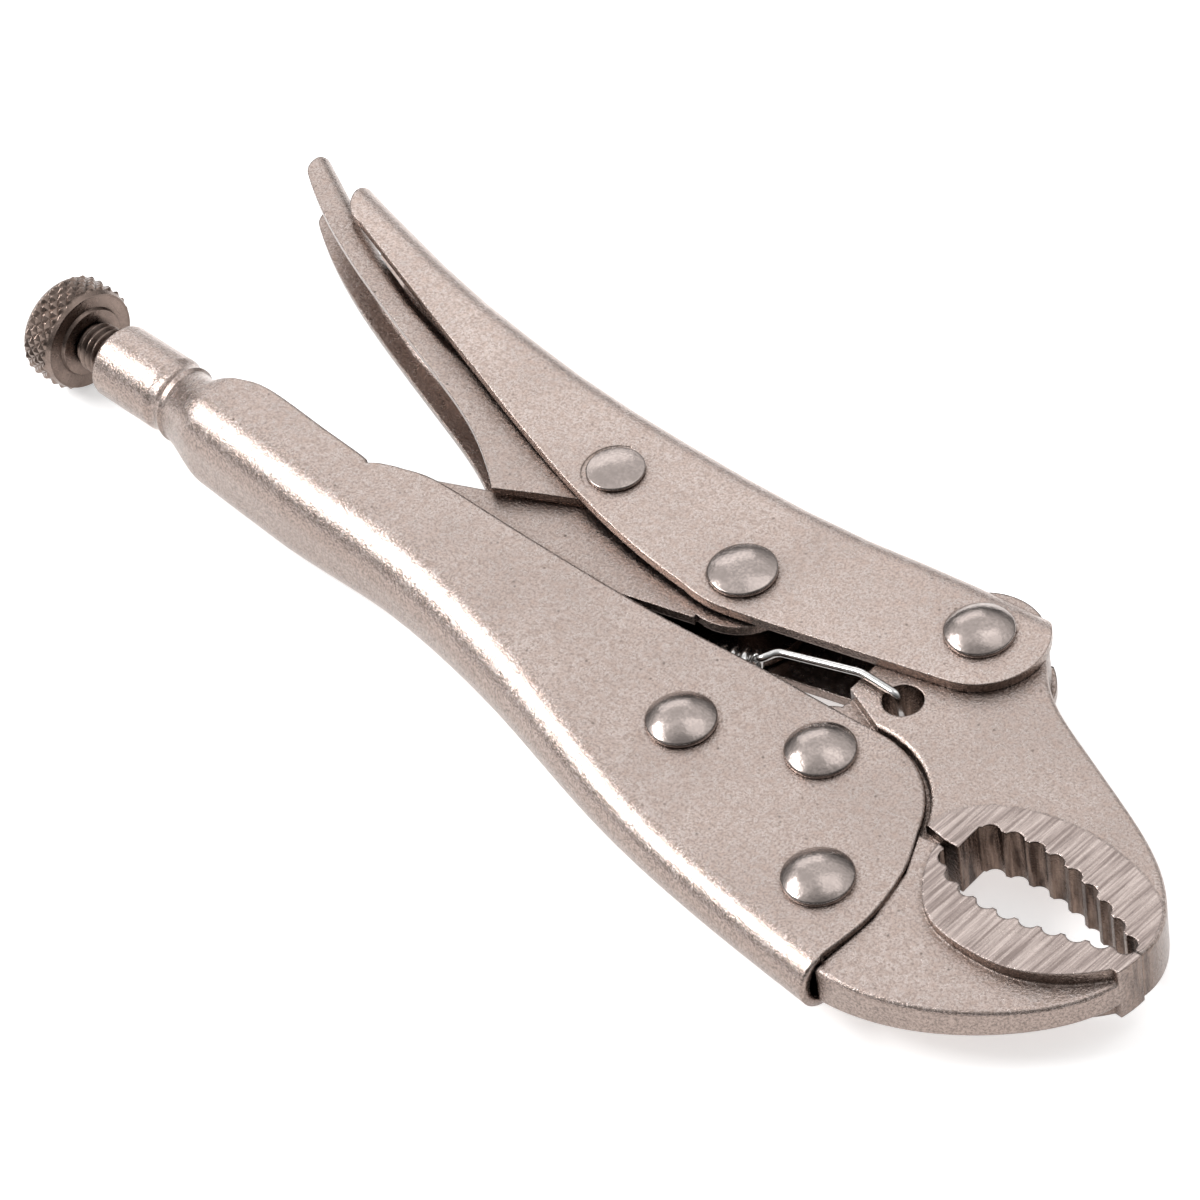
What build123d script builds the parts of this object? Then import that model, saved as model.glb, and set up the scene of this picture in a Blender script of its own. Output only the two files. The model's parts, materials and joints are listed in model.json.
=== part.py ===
from build123d import *
import math
import os

# Locking pliers, lying flat.  Every outline below is drawn in the plane of the mechanism, in mm:
# X runs along the adjusting screw towards the jaws, Y points from the fixed handle to the lever,
# and the middle of the pliers' thickness is Z = 0.  The jaw pivot is at X = Y = 0.
# At the end the whole model moves so that the origin is the middle of its footprint.

# ---- sheet metal ----
SHEET = 0.95                 # fixed handle, lever and link
THIN_SHEET = 0.7             # release lever
SLIDE_GAP = 0.06             # flat faces that slide past each other
FIT_GAP = 0.05               # radial gap of a pin or screw in its hole
SWING_GAP = 0.35             # shaped edges that swing past each other

# ---- pivots ----
LEVER_PIVOT = (1.8, 18.1)        # lever on movable jaw
LINK_PIVOT = (-19.3, 10.5)       # toggle link on lever
RELEASE_PIVOT = (-36.8, 12.2)    # release lever on lever
REAR_RIVET = (-11.6, -5.1)       # fixed jaw in fixed handle, rear
FRONT_RIVET = (9.7, -10.5)       # fixed jaw in fixed handle, front
SPRING_HOLE = (1.4, 8.7)         # spring eye in movable jaw

# ---- jaws ----
JAW_HALF = 2.8               # half thickness of the gripping ends
TANG_HALF = 1.75             # half thickness between the handle walls
HANDLE_FRONT_HALF = TANG_HALF + SLIDE_GAP + SHEET
LEVER_FRONT_HALF = JAW_HALF + SLIDE_GAP + SHEET
GRIP_HALF = 5.35             # half width of both handles at the grip
EAR_R = 5.8                  # round end of the movable jaw at the lever pivot
BOSS_R = 6.3                 # round tongue of the movable jaw at the jaw pivot
SPRING_HOLE_R = 1.85
TIP_GAP = 0.1                # between the jaw tips when locked
TOOTH_PITCH = 2.05
TOOTH_DEPTH = 0.5
TOOTH_R = 0.95               # radius of the round grooves between the teeth
JAW_EDGE = 0.45              # rounding of the jaws' outer edges
FLANK_POINT = (24.0, -8.0, 1.85)     # a point on the sloping flank of the fixed jaw
FLANK_NORMAL = (0.053, -0.026, 1.0)

# ---- fixed handle ----
SCREW_Y = -3.35              # axis of the barrel and the adjusting screw
BARREL_R = 3.7
BARREL_END_X = -89.0
BARREL_ROOT_X = -80.5
HANDLE_BEND_R = 3.9          # bend between wall and back of the handle
HANDLE_NOSE_R = 10.1         # round front corner of the walls over the jaw pivot
HANDLE_NOSE_CENTRE = (3.2, -5.2)
WINDOW = (-46.5, -37.0, 1.5) # slot in the back of the handle: start, end, half width

# ---- lever, link and release lever ----
LEVER_NOSE_R = 6.2
LEVER_BEND_R = 2.6
LEVER_WEB_END_X = -4.3
RELEASE_BEND_R = 1.6
RELEASE_HALF = 3.7           # half width of the release lever behind its rivet
TAIL_NOTCH_X = -78.5         # the lever's back is cut away behind this, for the release lever
LINK_HALF = 2.6
LINK_EAR_R = 5.4
LINK_TAIL = (-54.6, -2.05)   # centre of the round tail of the link
LINK_TAIL_R = 2.5

# ---- adjusting screw ----
SCREW_R = 2.45
SCREW_TIP_X = -59.6
SCREW_TIP_R = 1.7
KNOB_R = 5.35
KNOB_FACE_X = -93.2
KNOB_LENGTH = 4.4
KNOB_BOSS_R = 3.3
KNOB_BOSS_HEIGHT = 0.3
KNOB_SEAT_R = 2.0            # stud of the screw that the knob is pressed on

# ---- rivets ----
RIVET_R = 1.75               # shank
HEAD_R = 3.15
HEAD_EDGE = 0.5              # straight edge under the dome
HEAD_HEIGHT = 1.5
LINK_HEAD_HEIGHT = 1.15
RELEASE_HEAD_R = 2.65
RELEASE_HEAD_HEIGHT = 0.7
TAIL_R = 2.7
TAIL_HEIGHT = 1.15
TAIL_EDGE = 0.35             # rounding of the tail's rim
SEAT_GAP = 0.05              # round each head in its seat

# ---- spring ----
COIL_R = 2.0
WIRE_R = 0.5
COIL_FRONT = (-12.8, 5.1)
COIL_REAR = (-36.2, -6.9)

LIFT = GRIP_HALF             # the undersides of the handles lie on the ground
NECK_LENGTH = 8.0            # the screw's bore runs on through the neck
TROUGH_TOP = 16.0            # the bent troughs are drawn this deep and then trimmed


def blend(x, x0, v0, x1, v1):
    """Straight-line change from v0 at x0 to v1 at x1, flat beyond both."""
    t = min(1.0, max(0.0, (x - x0) / (x1 - x0)))
    return v0 + t * (v1 - v0)


def smooth(points, x):
    """Height at x of the smooth curve through points, which are listed front to rear."""
    n = len(points)
    i = max(k for k in range(n - 1) if k == 0 or points[k][0] >= x)
    (x0, y0), (x1, y1) = points[i], points[i + 1]

    def slope(k):
        (xa, ya), (xb, yb) = points[max(k - 1, 0)], points[min(k + 1, n - 1)]
        return (yb - ya) / (xb - xa)

    t = (x - x0) / (x1 - x0)
    rise0 = slope(i) * (x1 - x0)
    rise1 = slope(i + 1) * (x1 - x0)
    cubic0 = (1 + 2 * t) * (1 - t) ** 2 * y0 + t * (1 - t) ** 2 * rise0
    cubic1 = t * t * (3 - 2 * t) * y1 - t * t * (1 - t) * rise1
    return cubic0 + cubic1


def handle_half(x):
    """Half width of the fixed handle: pinched at the jaws, wide at the grip."""
    return blend(x, -60.0, GRIP_HALF, -5.0, HANDLE_FRONT_HALF)


def lever_half(x):
    """Half width of the lever handle."""
    return blend(x, -56.0, GRIP_HALF, -14.0, LEVER_FRONT_HALF)


def slab(outline, half, low=None):
    """A plate with the given outline, from -half (or low) to +half in Z."""
    bottom = -half if low is None else low
    return Pos(0, 0, bottom) * extrude(outline, amount=half - bottom)


def region(*edges):
    """The flat face inside a closed chain of edges."""
    return make_face(Wire(list(edges)))


def curve(points):
    """A smooth edge through hand-chosen points."""
    return Spline(*[(x, y) for x, y in points])


def station(x, y_low, y_high, half, radius):
    """A rounded rectangle across the handle at x, from y_low to y_high."""
    middle = (y_low + y_high) / 2
    plane = Plane(origin=(x, middle, 0), x_dir=(0, 1, 0), z_dir=(1, 0, 0))
    return plane * RectangleRounded(y_high - y_low, 2 * half, radius)


def disc(centre, radius, half, low=None):
    """A round plate about a pivot."""
    return slab(Pos(*centre) * Circle(radius), half, low)


def rivet_hole(centre, wall):
    """Hole through both walls, with flat seats where a tapering wall meets the rivet's head and tail."""
    deep = 2 * GRIP_HALF
    hole = disc(centre, RIVET_R, deep)
    hole += disc(centre, HEAD_R + SEAT_GAP, deep, wall)
    return hole + disc(centre, TAIL_R + SEAT_GAP, -wall, -deep)


# ---------------------------------------------------------------- fixed handle
# Back of the handle: height of its outer face at a few places along it.
HANDLE_BACK = [(22.0, -19.5), (2.0, -18.0), (-12.0, -16.0), (-30.0, -11.8), (-45.0, -9.4), (-60.0, -9.0), (-76.0, -8.1)]
HANDLE_STATIONS = [17.5, 12, 7, 2, -5, -11, -17, -23, -29, -35, -41, -47, -53, -60, -67, -74.5]
NECK_TOP = -0.1              # the walls fold together behind the grip, up to this height
HANDLE_EDGE_FRONT = [(-4.8, 4.35), (-11.0, 3.9), (-24.0, 2.45), (-38.5, 1.7), (-48.5, 1.35), (-54.2, -0.5)]
HANDLE_EDGE_REAR = [(-55.6, -0.9), (-61.0, -0.75), (-69.5, -0.3), (-73.0, -1.1), (-76.0, -2.8)]


def handle_outline(extra=0.0):
    """Outline of the handle's side walls, as a face that runs past the back."""
    cx, cy = HANDLE_NOSE_CENTRE
    r = HANDLE_NOSE_R

    def on_nose(degrees):
        a = math.radians(degrees)
        return (cx + r * math.cos(a), cy + r * math.sin(a))

    front = [on_nose(27), (14.6, -5.3), (15.8, -10.7), (15.5, -16.5), (15.2, -24.0)]
    edges = [
        curve(HANDLE_EDGE_REAR[::-1]),
        Line(HANDLE_EDGE_REAR[0], HANDLE_EDGE_FRONT[-1]),
        curve(HANDLE_EDGE_FRONT[::-1]),
        Line(HANDLE_EDGE_FRONT[0], on_nose(92)),
        ThreePointArc(on_nose(92), on_nose(60), on_nose(27)),
        Line(front[0], front[1]),
        Line(front[1], front[2]),
        Line(front[2], front[3]),
        Line(front[3], front[4]),
        Line(front[4], (-76.0, -24.0)),
        Line((-76.0, -24.0), HANDLE_EDGE_REAR[-1]),
    ]
    return region(*edges)


def handle_shell(inset):
    """The handle's rounded trough, set in from its outer faces by inset."""
    sections = []
    for x in HANDLE_STATIONS:
        half = handle_half(x) - inset
        radius = min(HANDLE_BEND_R, handle_half(x) - 0.15) - inset
        sections.append(station(x, smooth(HANDLE_BACK, x) + inset, TROUGH_TOP, half, radius))
    return loft(sections, ruled=True)


def handle_neck(inset):
    """Closed taper from the grip down to the barrel, set in by inset."""
    x = HANDLE_STATIONS[-1]
    half = GRIP_HALF - inset
    wide = station(x, smooth(HANDLE_BACK, x) + inset, NECK_TOP - inset, half, HANDLE_BEND_R - inset)
    r = BARREL_R - inset
    narrow = station(BARREL_ROOT_X, SCREW_Y - r, SCREW_Y + r, r, r - 0.05)
    return loft([wide, narrow])


def fixed_handle():
    trough = (handle_shell(0.0) & slab(handle_outline(), 2 * GRIP_HALF)) - handle_shell(SHEET)
    neck = handle_neck(0.0) - handle_neck(SHEET)
    barrel_length = BARREL_ROOT_X - BARREL_END_X
    along = Plane(origin=(BARREL_END_X, SCREW_Y, 0), z_dir=(1, 0, 0))
    barrel = along * extrude(Circle(BARREL_R), amount=barrel_length)
    body = trough + neck + barrel
    body -= along * extrude(Circle(SCREW_R + FIT_GAP), amount=barrel_length + NECK_LENGTH)
    start, end, half = WINDOW
    slot = Plane.XZ * Pos((start + end) / 2, 0) * SlotOverall(end - start, 2 * half)
    body -= extrude(slot, amount=14)
    for centre in (REAR_RIVET, FRONT_RIVET, (0, 0)):
        body -= rivet_hole(centre, handle_half(centre[0]))
    return body


# ------------------------------------------------------------------------ jaws
MOVABLE_MOUTH = [(16.2, 2.1), (21.5, 3.45), (26.6, 3.0), (31.0, 1.75), (35.3, 0.1)]
FIXED_MOUTH = [(15.5, -1.5), (18.0, -3.3), (22.0, -3.85), (27.0, -3.0), (31.0, -1.7), (35.3, 0.0)]
MOVABLE_BACK = [(35.7, 0.1), (35.4, 2.8), (33.0, 6.3), (28.2, 9.6), (23.0, 11.9), (16.5, 14.5), (11.5, 16.8), (8.4, 19.3)]
FIXED_BACK = [(35.8, 0.0), (35.5, -3.0), (33.9, -6.7), (31.0, -10.3), (27.3, -13.4), (23.0, -15.8), (15.9, -17.5)]
FIXED_BAND = [(34.9, -2.6), (32.0, -5.7), (28.5, -7.7), (23.7, -8.45), (19.8, -7.9), (17.2, -6.0), (15.0, -2.4)]


def teeth(points, side):
    """Round grooves across the mouth, one every TOOTH_PITCH along its curve."""
    mouth = curve(points)
    count = int(mouth.length / TOOTH_PITCH)
    grooves = []
    for i in range(count):
        spot = mouth @ ((i + 0.5) / count)
        slope = mouth % ((i + 0.5) / count)
        away = Vector(-slope.Y, slope.X) * side
        centre = spot + away * (TOOTH_DEPTH - TOOTH_R)
        grooves.append(disc((centre.X, centre.Y), TOOTH_R, 2 * JAW_HALF))
    return grooves


def movable_jaw():
    px, py = LEVER_PIVOT
    cx, cy = HANDLE_NOSE_CENTRE
    shoulder = HANDLE_NOSE_R + SWING_GAP

    def on_shoulder(degrees):
        a = math.radians(degrees)
        return (cx + shoulder * math.cos(a), cy + shoulder * math.sin(a))

    def on_ear(degrees):
        a = math.radians(degrees)
        return (px + EAR_R * math.cos(a), py + EAR_R * math.sin(a))

    lobe = (-3.1, 6.9)
    outline = region(
        curve(MOVABLE_MOUTH),
        Line(MOVABLE_MOUTH[-1], MOVABLE_BACK[0]),
        curve(MOVABLE_BACK),
        Line(MOVABLE_BACK[-1], on_ear(24)),
        ThreePointArc(on_ear(24), on_ear(110), on_ear(200)),
        Line(on_ear(200), lobe),
        Line(lobe, on_shoulder(98)),
        ThreePointArc(on_shoulder(98), on_shoulder(65), on_shoulder(27)),
        Line(on_shoulder(27), (14.9, -0.75)),
        Line((14.9, -0.75), (16.4, -0.7)),
        Line((16.4, -0.7), MOVABLE_MOUTH[0]),
    )
    jaw = slab(outline, JAW_HALF)
    rim = jaw.edges().filter_by(lambda e: e.center().X > 8 and e.center().Y > 0.3 * e.center().X)
    jaw = fillet([e for e in rim if abs(e.tangent_at(0.5).Z) < 0.5], JAW_EDGE)
    tongue = region(
        Line((-2.9, 4.0), (-2.9, 8.0)),
        Line((-2.9, 8.0), (12.5, 8.0)),
        Line((12.5, 8.0), (14.3, -0.9)),
        Line((14.3, -0.9), (5.5, -2.6)),
        Line((5.5, -2.6), (-2.9, 4.0)),
    )
    jaw += slab(tongue, TANG_HALF)
    jaw += disc((0, 0), BOSS_R, TANG_HALF)
    for groove in teeth(MOVABLE_MOUTH, 1):
        jaw -= groove
    jaw -= disc((0, 0), RIVET_R + FIT_GAP, 2 * JAW_HALF)
    jaw -= disc(LEVER_PIVOT, RIVET_R + FIT_GAP, 2 * JAW_HALF)
    jaw -= disc(SPRING_HOLE, SPRING_HOLE_R, 2 * JAW_HALF)
    return jaw


def fixed_jaw():
    tip = (FIXED_MOUTH[-1][0], FIXED_MOUTH[-1][1])
    outline = region(
        curve(FIXED_MOUTH),
        Line(tip, FIXED_BACK[0]),
        curve(FIXED_BACK),
        Line(FIXED_BACK[-1], (15.7, -15.8)),
        Line((15.7, -15.8), (-2.0, -13.9)),
        Line((-2.0, -13.9), (-13.0, -9.8)),
        ThreePointArc((-13.0, -9.8), (-16.3, -6.0), (-12.5, -0.6)),
        Line((-12.5, -0.6), (-3.0, -1.6)),
        Line((-3.0, -1.6), (6.0, -3.0)),
        Line((6.0, -3.0), (14.6, -1.35)),
        Line((14.6, -1.35), FIXED_MOUTH[0]),
    )
    body = slab(outline, JAW_HALF)
    band = region(
        curve(FIXED_BAND),
        Line(FIXED_BAND[-1], (14.6, -0.5)),
        Line((14.6, -0.5), (37.0, 6.0)),
        Line((37.0, 6.0), (37.0, -2.6)),
        Line((37.0, -2.6), FIXED_BAND[0]),
    )
    # Outside the ground band the forging slopes away towards its tip and its outer edge.
    slope = Plane(origin=FLANK_POINT, z_dir=FLANK_NORMAL) * extrude(Rectangle(90, 90), amount=8)
    cut = slope - slab(band, 20)
    body -= cut
    body -= mirror(cut, about=Plane.XY)
    rim = body.edges().filter_by(lambda e: e.center().X > 16.5 and e.center().Y < 0.4 * e.center().X - 19.5)
    body = fillet([e for e in rim if abs(e.tangent_at(0.5).Z) < 0.5], JAW_EDGE)
    tang_room = slab(region(
        Line((-30, 10), (12.0, 10)),
        Line((12.0, 10), (12.35, -0.6)),
        Line((12.35, -0.6), (14.75, -5.3)),
        Line((14.75, -5.3), (15.95, -10.7)),
        Line((15.95, -10.7), (15.65, -24.0)),
        Line((15.65, -24.0), (-30, -24.0)),
        Line((-30, -24.0), (-30, 10)),
    ), 2 * JAW_HALF, TANG_HALF)
    body -= tang_room
    body -= mirror(tang_room, about=Plane.XY)
    body -= disc((0, 0), BOSS_R + SWING_GAP, 2 * JAW_HALF)
    for groove in teeth(FIXED_MOUTH, -1):
        body -= groove
    body -= disc(REAR_RIVET, RIVET_R, 2 * JAW_HALF)
    body -= disc(FRONT_RIVET, RIVET_R, 2 * JAW_HALF)
    return body


# ---------------------------------------------------------------------- lever
LEVER_BACK = [(14.0, 24.9), (-4.0, 23.1), (-20.0, 20.8), (-36.0, 19.9), (-50.0, 20.0), (-66.0, 21.8), (-88.0, 26.6)]
LEVER_STATIONS = [12, 5, -3, -8.5, -14, -21, -28, -35, -42, -49, -56, -63, -70, -77, -86]
LEVER_EDGE = [(-22.5, 6.2), (-35.5, 7.7), (-51.4, 11.8), (-65.5, 16.1), (-80.0, 20.7)]


def lever_shell(inset):
    """The lever's trough, open towards the fixed handle, set in by inset."""
    sections = []
    for x in LEVER_STATIONS:
        half = lever_half(x) - inset
        sections.append(station(x, 0.0, smooth(LEVER_BACK, x) - inset, half, LEVER_BEND_R - inset))
    return loft(sections, ruled=True)


def lever_handle():
    px, py = LEVER_PIVOT

    def on_nose(degrees):
        a = math.radians(degrees)
        return (px + LEVER_NOSE_R * math.cos(a), py + LEVER_NOSE_R * math.sin(a))

    outline = region(
        curve(LEVER_EDGE),
        ThreePointArc(LEVER_EDGE[-1], (-83.2, 22.4), (-84.0, 25.0)),
        Line((-84.0, 25.0), (-84.0, 30.0)),
        Line((-84.0, 30.0), (px, 30.0)),
        Line((px, 30.0), on_nose(90)),
        ThreePointArc(on_nose(90), on_nose(0), on_nose(-73)),
        Line(on_nose(-73), (-17.5, 6.45)),
        ThreePointArc((-17.5, 6.45), (-19.7, 6.05), LEVER_EDGE[0]),
    )
    side = slab(outline, 2 * GRIP_HALF)
    lever = (lever_shell(0.0) & side) - lever_shell(SHEET)
    lever -= Pos(LEVER_WEB_END_X + 20, 30, 0) * Box(40, 40, 2 * (LEVER_FRONT_HALF - SHEET))
    lever -= Pos(TAIL_NOTCH_X - 10, 30, 0) * Box(20, 40, 2 * (RELEASE_HALF + SWING_GAP))
    for centre in (LEVER_PIVOT, LINK_PIVOT, RELEASE_PIVOT):
        lever -= rivet_hole(centre, lever_half(centre[0]))
    return lever


# ----------------------------------------------------------------------- link
def toggle_link():
    ex, ey = LINK_PIVOT
    tx, ty = LINK_TAIL
    length = math.hypot(ex - tx, ey - ty)
    tilt = math.degrees(math.atan2(ey - ty, ex - tx))
    # Drawn along its own length, with the tail's centre at 0 and the pivot at length.
    lean = math.asin((LINK_EAR_R - LINK_TAIL_R) / length)
    c, s = math.cos(lean), math.sin(lean)

    def plate(inset):
        ear = LINK_EAR_R
        tail = LINK_TAIL_R - inset
        top = ear - inset
        return region(
            Line((length - top * s, top * c), (-tail * s, tail * c)),
            ThreePointArc((-tail * s, tail * c), (-tail, 0), (-tail * s, -tail * c)),
            Line((-tail * s, -tail * c), (length - ear * s, -ear * c)),
            Line((length - ear * s, -ear * c), (length + ear, -ear * c)),
            Line((length + ear, -ear * c), (length + ear, top * c)),
            Line((length + ear, top * c), (length - top * s, top * c)),
        )

    body = slab(plate(0.0), LINK_HALF)
    round_end = Pos(length, 0) * Circle(LINK_EAR_R)
    long_side = Pos(length / 2 - LINK_TAIL_R, 0) * Rectangle(length, 2.2 * LINK_EAR_R)
    body &= slab(round_end + long_side, LINK_HALF)
    hollow = slab(plate(SHEET), LINK_HALF - SHEET)
    hollow += Pos(length / 2 + 5, -LINK_EAR_R, 0) * Box(length, 2 * LINK_EAR_R, 2 * (LINK_HALF - SHEET))
    hollow += Pos(length + 1, 0, 0) * Box(2.6 * LINK_EAR_R, 3 * LINK_EAR_R, 2 * (LINK_HALF - SHEET))
    body -= hollow
    body -= Pos(length, 0, 0) * Cylinder(RIVET_R + FIT_GAP, 4 * LINK_HALF)
    return Pos(tx, ty, 0) * Rot(0, 0, tilt) * body


# -------------------------------------------------------------- release lever
RELEASE_BACK = [(-26.0, 16.3), (-38.0, 16.4), (-50.0, 15.4), (-61.0, 15.8), (-73.0, 18.8), (-84.0, 23.4), (-98.0, 29.8)]
RELEASE_STATIONS = [-28, -34.5, -41, -49, -56, -63, -70, -77, -84, -95]
RELEASE_EDGE = [(-45.0, 4.3), (-48.1, 6.4), (-53.5, 9.2), (-60.0, 11.5), (-71.0, 15.0), (-83.0, 19.4), (-90.8, 23.4)]


def release_half(x):
    """Half width of the release lever, which nests inside the lever handle."""
    return min(RELEASE_HALF, lever_half(x) - SHEET - 2 * SLIDE_GAP)


def release_shell(inset):
    """The release lever's trough, set in by inset."""
    sections = []
    for x in RELEASE_STATIONS:
        half = release_half(x) - inset
        sections.append(station(x, 0.0, smooth(RELEASE_BACK, x) - inset, half, RELEASE_BEND_R - inset))
    return loft(sections, ruled=True)


def release_lever():
    outline = region(
        curve(RELEASE_EDGE),
        ThreePointArc(RELEASE_EDGE[-1], (-92.1, 25.2), (-90.6, 27.6)),
        Line((-90.6, 27.6), (-90.6, 30.0)),
        Line((-90.6, 30.0), (-32.8, 30.0)),
        Line((-32.8, 30.0), (-32.8, 11.4)),
        Line((-32.8, 11.4), (-36.4, 9.0)),
        Line((-36.4, 9.0), RELEASE_EDGE[0]),
    )
    lever = (release_shell(0.0) & slab(outline, 2 * GRIP_HALF)) - release_shell(THIN_SHEET)
    lever -= disc(RELEASE_PIVOT, RIVET_R + FIT_GAP, 2 * GRIP_HALF)
    return lever


# ------------------------------------------------------------ adjusting screw
def adjusting_screw():
    """Threaded shank, drawn at its outside diameter, with a plain tip and a stud for the knob."""
    def along(x, radius, length):
        plane = Plane(origin=(x, SCREW_Y, 0), z_dir=(1, 0, 0))
        return plane * extrude(Circle(radius), amount=length)

    tip_length = 3.0
    shank = along(KNOB_FACE_X, SCREW_R, SCREW_TIP_X - tip_length - KNOB_FACE_X)
    shank += along(SCREW_TIP_X - tip_length, SCREW_TIP_R, tip_length)
    shank += along(KNOB_FACE_X - KNOB_LENGTH + 1.0, KNOB_SEAT_R, KNOB_LENGTH - 1.0)
    return shank


def knurled_knob():
    r = KNOB_R
    bevel = 0.35
    back = KNOB_FACE_X - KNOB_LENGTH
    profile = Polyline(
        (back + KNOB_LENGTH, KNOB_SEAT_R + FIT_GAP),
        (back + KNOB_LENGTH, KNOB_BOSS_R),
        (back + KNOB_LENGTH - KNOB_BOSS_HEIGHT, KNOB_BOSS_R),
        (back + KNOB_LENGTH - KNOB_BOSS_HEIGHT, r - bevel),
        (back + KNOB_LENGTH - KNOB_BOSS_HEIGHT - bevel, r),
        (back + bevel, r),
        (back, r - bevel),
        (back, 0),
        (back + 1.0 - FIT_GAP, 0),
        (back + 1.0 - FIT_GAP, KNOB_SEAT_R + FIT_GAP),
        close=True,
    )
    return Pos(0, SCREW_Y, 0) * revolve(make_face(profile), axis=Axis.X)


# --------------------------------------------------------------------- rivets
def rivet(centre, wall, head_r=HEAD_R, head_height=HEAD_HEIGHT, tail_z=None):
    """Domed head above, shank through both walls, flattened tail below."""
    edge = min(HEAD_EDGE, head_height / 2)
    dome = head_height - edge
    dome_r = (head_r ** 2 + dome ** 2) / (2 * dome)
    tail = -wall - TAIL_HEIGHT if tail_z is None else tail_z
    ball = Pos(0, 0, wall + head_height - dome_r) * Sphere(dome_r)
    head = disc((0, 0), head_r, wall + head_height, wall) & ball
    shank = disc((0, 0), RIVET_R, wall + edge / 2, -wall - edge / 2)
    foot = disc((0, 0), TAIL_R, -wall, tail)
    foot = fillet(foot.edges().group_by(Axis.Z)[0], TAIL_EDGE)
    return Pos(centre[0], centre[1], 0) * (head + shank + foot)


# --------------------------------------------------------------------- spring
def tension_spring():
    """Coil drawn as its outer cylinder, with a wire hook at each end."""
    fx, fy = COIL_FRONT
    rx, ry = COIL_REAR
    length = math.hypot(fx - rx, fy - ry)
    plane = Plane(origin=(rx, ry, 0), z_dir=(fx - rx, fy - ry, 0))
    coil = plane * extrude(Circle(COIL_R), amount=length)
    over = JAW_HALF + WIRE_R + 0.15
    hx, hy = SPRING_HOLE
    front = FilletPolyline(
        (fx - 0.4, fy, 0),
        (fx + 2.0, fy + 1.8, 1.2),
        (fx + 6.4, hy - 0.1, over),
        (hx - 2.6, hy + 0.3, over),
        (hx - 0.3, hy, over),
        (hx - 0.2, hy, -0.6),
        radius=0.9,
    )
    ux, uy = (rx - fx) / length, (ry - fy) / length
    rear = Line((rx - 0.4 * ux, ry - 0.4 * uy, 0), (rx + 2.6 * ux, ry + 2.6 * uy, 0))
    spring = coil
    for path in (front, rear):
        start = Plane(origin=path @ 0, z_dir=path % 0)
        spring += sweep(start * Circle(WIRE_R), path=path)
    return spring


def build():
    """Every separate piece of the pliers, by name."""
    lever_wall = lever_half(LINK_PIVOT[0])
    release_wall = lever_half(RELEASE_PIVOT[0])
    rear_wall = handle_half(REAR_RIVET[0])
    return {
        "fixed_handle": fixed_handle(),
        "fixed_jaw": fixed_jaw(),
        "movable_jaw": movable_jaw(),
        "lever_handle": lever_handle(),
        "release_lever": release_lever(),
        "toggle_link": toggle_link(),
        "adjusting_screw": adjusting_screw(),
        "knurled_knob": knurled_knob(),
        "tension_spring": tension_spring(),
        "rear_jaw_rivet": rivet(REAR_RIVET, rear_wall),
        "front_jaw_rivet": rivet(FRONT_RIVET, HANDLE_FRONT_HALF),
        "jaw_pivot_rivet": rivet((0, 0), HANDLE_FRONT_HALF),
        "lever_pivot_rivet": rivet(LEVER_PIVOT, LEVER_FRONT_HALF, tail_z=-GRIP_HALF),
        "link_pivot_rivet": rivet(LINK_PIVOT, lever_wall, head_height=LINK_HEAD_HEIGHT, tail_z=-GRIP_HALF),
        "release_pivot_rivet": rivet(
            RELEASE_PIVOT,
            release_wall,
            head_r=RELEASE_HEAD_R,
            head_height=RELEASE_HEAD_HEIGHT,
            tail_z=-GRIP_HALF,
        ),
    }


def main():
    pieces = build()
    os.makedirs("parts", exist_ok=True)
    box = Compound(children=[Compound(p.solids()) for p in pieces.values()]).bounding_box()
    move = Pos(-(box.min.X + box.max.X) / 2, -(box.min.Y + box.max.Y) / 2, LIFT)
    print("frame moves by", tuple(move.position))
    for name, piece in pieces.items():
        placed = move * piece
        solids = placed.solids()
        shape = solids[0] if len(solids) == 1 else Compound(solids)
        export_step(shape, f"parts/{name}.step")
        print(name, len(solids), round(placed.volume, 1))


main()
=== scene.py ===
import json

import bmesh
import bpy
import numpy as np
from mathutils import Matrix, Vector


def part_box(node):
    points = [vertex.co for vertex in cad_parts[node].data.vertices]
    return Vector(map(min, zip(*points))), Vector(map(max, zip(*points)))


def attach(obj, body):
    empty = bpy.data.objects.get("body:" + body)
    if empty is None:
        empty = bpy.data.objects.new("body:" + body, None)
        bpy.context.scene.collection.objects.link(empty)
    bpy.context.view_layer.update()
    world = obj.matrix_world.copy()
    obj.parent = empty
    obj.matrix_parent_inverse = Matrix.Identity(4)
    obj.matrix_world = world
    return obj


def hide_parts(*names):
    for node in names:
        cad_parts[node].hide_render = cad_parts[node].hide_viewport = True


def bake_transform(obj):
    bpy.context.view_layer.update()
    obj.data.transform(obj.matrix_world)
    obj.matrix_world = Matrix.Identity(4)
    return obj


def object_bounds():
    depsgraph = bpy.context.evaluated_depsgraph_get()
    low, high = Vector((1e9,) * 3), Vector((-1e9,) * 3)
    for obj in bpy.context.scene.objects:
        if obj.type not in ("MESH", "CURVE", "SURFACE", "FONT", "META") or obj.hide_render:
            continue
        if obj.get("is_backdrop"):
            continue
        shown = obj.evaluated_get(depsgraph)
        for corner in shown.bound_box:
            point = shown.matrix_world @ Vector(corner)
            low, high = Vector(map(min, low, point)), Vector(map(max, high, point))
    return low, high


bl_info = {
    "name": "Locking pliers",
    "version": (1, 0, 0),
    "blender": (4, 5, 0),
    "location": "3D View > Sidebar > Pliers",
    "description": "Builds the visible surfaces of a pair of small locking pliers",
    "category": "Object",
}

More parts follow.
